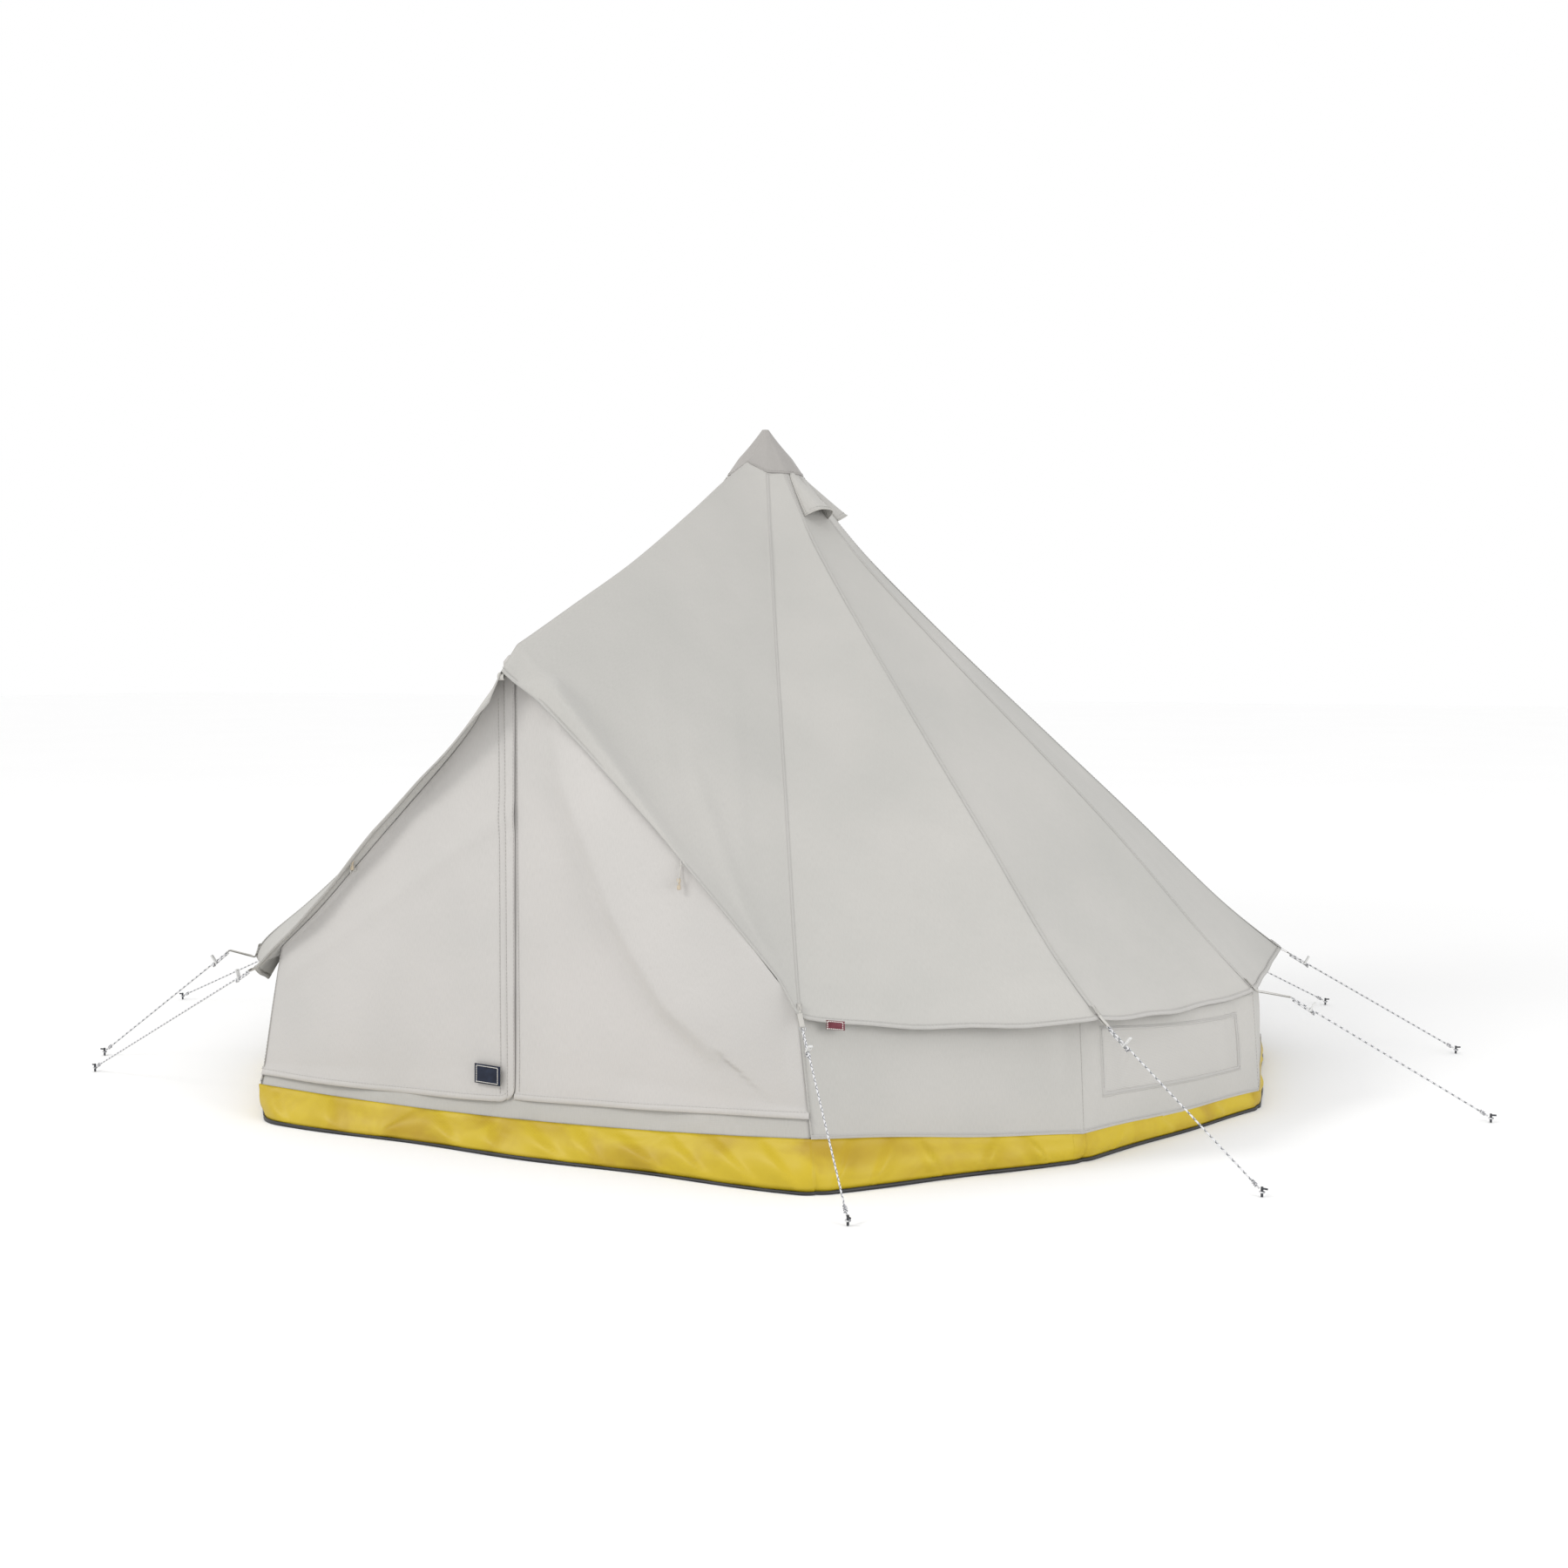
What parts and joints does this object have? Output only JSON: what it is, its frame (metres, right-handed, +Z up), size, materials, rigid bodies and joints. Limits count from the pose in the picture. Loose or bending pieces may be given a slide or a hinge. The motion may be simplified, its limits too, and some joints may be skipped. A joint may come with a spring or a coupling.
{
  "type": "bell tent",
  "caption": "Round canvas bell tent on a centre pole and a door A-frame, with a zipped front door, eave windows, a sewn-in groundsheet and guy ropes to pegs.",
  "frame": {"origin": "centre of the tent on the ground, under the centre pole, on the underside of the groundsheet", "axes": "+Z up; the door faces -Y; +X is to the right of someone facing the door from outside"},
  "size_m": [5.8341, 4.9072, 2.484],
  "materials": {
    "canvas": "woven polycotton canvas, light warm grey",
    "door_canvas": "woven polycotton canvas, light warm grey",
    "groundsheet_yellow": "coated woven groundsheet, mustard yellow",
    "groundsheet_black": "coated woven groundsheet, black",
    "insect_mesh": "fine knitted mesh, grey",
    "webbing": "flat woven webbing",
    "zip_metal": "cast zip slider",
    "toggle_wood": "turned beech",
    "pole_steel": "galvanised tube",
    "foot_rubber": "moulded rubber",
    "guy_rope": "braided cord, white with grey flecks",
    "slider_plastic": "moulded nylon",
    "peg_steel": "dark steel"
  },
  "bodies": {
    "tent": {"groundsheet_floor": "groundsheet_black", "groundsheet_skirt": "groundsheet_yellow", "wall_right": "canvas", "wall_left": "canvas", "roof_right": "canvas", "roof_left": "canvas", "roof_front_right": "canvas", "roof_front_left": "canvas", "peak_cap": "canvas", "vent_hoods": "canvas", "mesh_panels": "insect_mesh", "door_gusset_right": "door_canvas", "door_gusset_left": "door_canvas", "door_sill": "door_canvas", "door_toggles": "toggle_wood", "pole_foot": "foot_rubber", "centre_pole_lower": "pole_steel", "centre_pole_upper": "pole_steel", "pole_sleeve": "pole_steel", "peak_spigot": "pole_steel", "a_frame_leg_right": "pole_steel", "a_frame_leg_left": "pole_steel", "a_frame_elbow": "pole_steel", "a_frame_feet": "foot_rubber", "guy_rope_01": "guy_rope", "guy_rope_02": "guy_rope", "guy_rope_03": "guy_rope", "guy_rope_04": "guy_rope", "guy_rope_05": "guy_rope", "guy_rope_06": "guy_rope", "guy_rope_07": "guy_rope", "guy_rope_08": "guy_rope", "guy_rope_09": "guy_rope", "guy_rope_10": "guy_rope", "guy_rope_11": "guy_rope", "eave_tabs": "webbing", "guy_pegs": "peg_steel"},
    "leaf_left": {"door_leaf_left": "door_canvas", "storm_flap": "door_canvas", "zip_tape_left": "webbing"},
    "leaf_right": {"door_leaf_right": "door_canvas", "zip_tape_right": "webbing"},
    "door_zip": {"door_zip_slider": "zip_metal"},
    "sill_zip_left": {"sill_zip_slider_left": "zip_metal"},
    "sill_zip_right": {"sill_zip_slider_right": "zip_metal"},
    "window_flap_body_1": {"window_flap_1": "canvas"},
    "window_flap_body_2": {"window_flap_2": "canvas"},
    "window_flap_body_3": {"window_flap_3": "canvas"},
    "window_flap_body_4": {"window_flap_4": "canvas"},
    "slider_01": {"guy_slider_01": "slider_plastic"},
    "slider_02": {"guy_slider_02": "slider_plastic"},
    "slider_03": {"guy_slider_03": "slider_plastic"},
    "slider_04": {"guy_slider_04": "slider_plastic"},
    "slider_05": {"guy_slider_05": "slider_plastic"},
    "slider_06": {"guy_slider_06": "slider_plastic"},
    "slider_07": {"guy_slider_07": "slider_plastic"},
    "slider_08": {"guy_slider_08": "slider_plastic"},
    "slider_09": {"guy_slider_09": "slider_plastic"},
    "slider_10": {"guy_slider_10": "slider_plastic"},
    "slider_11": {"guy_slider_11": "slider_plastic"}
  },
  "joints": [
    {"name": "door_right_swing", "type": "hinge", "parent": "tent", "child": "leaf_right", "pos_m": [0.975, -1.7535, 0.2], "axis": [-0.6038, 0, 0.7971], "range_deg": [0, 100]},
    {"name": "door_left_swing", "type": "hinge", "parent": "tent", "child": "leaf_left", "pos_m": [-0.975, -1.7535, 0.2], "axis": [-0.6038, 0, -0.7971], "range_deg": [0, 100]},
    {"name": "door_zip_slide", "type": "slide", "parent": "leaf_left", "child": "door_zip", "axis": [0, 0, 1], "range_m": [0, 1.13]},
    {"name": "sill_zip_right_slide", "type": "slide", "parent": "tent", "child": "sill_zip_right", "axis": [1, 0, 0], "range_m": [0, 0.85]},
    {"name": "sill_zip_left_slide", "type": "slide", "parent": "tent", "child": "sill_zip_left", "axis": [-1, 0, 0], "range_m": [0, 0.85]},
    {"name": "window_flap_1_lift", "type": "hinge", "parent": "tent", "child": "window_flap_body_1", "pos_m": [1.81105, -0.5511, 0.44655], "axis": [0.2911, 0.9567, 0], "range_deg": [0, 110]},
    {"name": "window_flap_2_lift", "type": "hinge", "parent": "tent", "child": "window_flap_body_2", "pos_m": [1.35772, 1.31917, 0.44655], "axis": [-0.6969, 0.7172, 0], "range_deg": [0, 110]},
    {"name": "window_flap_3_lift", "type": "hinge", "parent": "tent", "child": "window_flap_body_3", "pos_m": [-1.35772, 1.31917, 0.44655], "axis": [-0.6969, -0.7172, 0], "range_deg": [0, 110]},
    {"name": "window_flap_4_lift", "type": "hinge", "parent": "tent", "child": "window_flap_body_4", "pos_m": [-1.81105, -0.5511, 0.44655], "axis": [0.2911, -0.9567, 0], "range_deg": [0, 110]},
    {"name": "guy_slider_01_slide", "type": "slide", "parent": "tent", "child": "slider_01", "axis": [0.4429, -0.4128, -0.7959], "range_m": [0, 0.45]},
    {"name": "guy_slider_02_slide", "type": "slide", "parent": "tent", "child": "slider_02", "axis": [0.7554, -0.1608, -0.6353], "range_m": [0, 0.52]},
    {"name": "guy_slider_03_slide", "type": "slide", "parent": "tent", "child": "slider_03", "axis": [0.8439, 0.1925, -0.5008], "range_m": [0, 0.62]},
    {"name": "guy_slider_04_slide", "type": "slide", "parent": "tent", "child": "slider_04", "axis": [0.7834, 0.3712, -0.4985], "range_m": [0, 0.62]},
    {"name": "guy_slider_05_slide", "type": "slide", "parent": "tent", "child": "slider_05", "axis": [0.7532, 0.481, -0.4487], "range_m": [0, 0.71]},
    {"name": "guy_slider_06_slide", "type": "slide", "parent": "tent", "child": "slider_06", "axis": [0, 0.8781, -0.4785], "range_m": [0, 0.66]},
    {"name": "guy_slider_07_slide", "type": "slide", "parent": "tent", "child": "slider_07", "axis": [-0.4721, 0.7496, -0.4639], "range_m": [0, 0.68]},
    {"name": "guy_slider_08_slide", "type": "slide", "parent": "tent", "child": "slider_08", "axis": [-0.7915, 0.4431, -0.4209], "range_m": [0, 0.77]},
    {"name": "guy_slider_09_slide", "type": "slide", "parent": "tent", "child": "slider_09", "axis": [-0.9218, 0.0064, -0.3877], "range_m": [0, 0.85]},
    {"name": "guy_slider_10_slide", "type": "slide", "parent": "tent", "child": "slider_10", "axis": [-0.7935, -0.1276, -0.5951], "range_m": [0, 0.57]},
    {"name": "guy_slider_11_slide", "type": "slide", "parent": "tent", "child": "slider_11", "axis": [-0.8751, 0.2658, -0.4045], "range_m": [0, 1.07]}
  ]
}
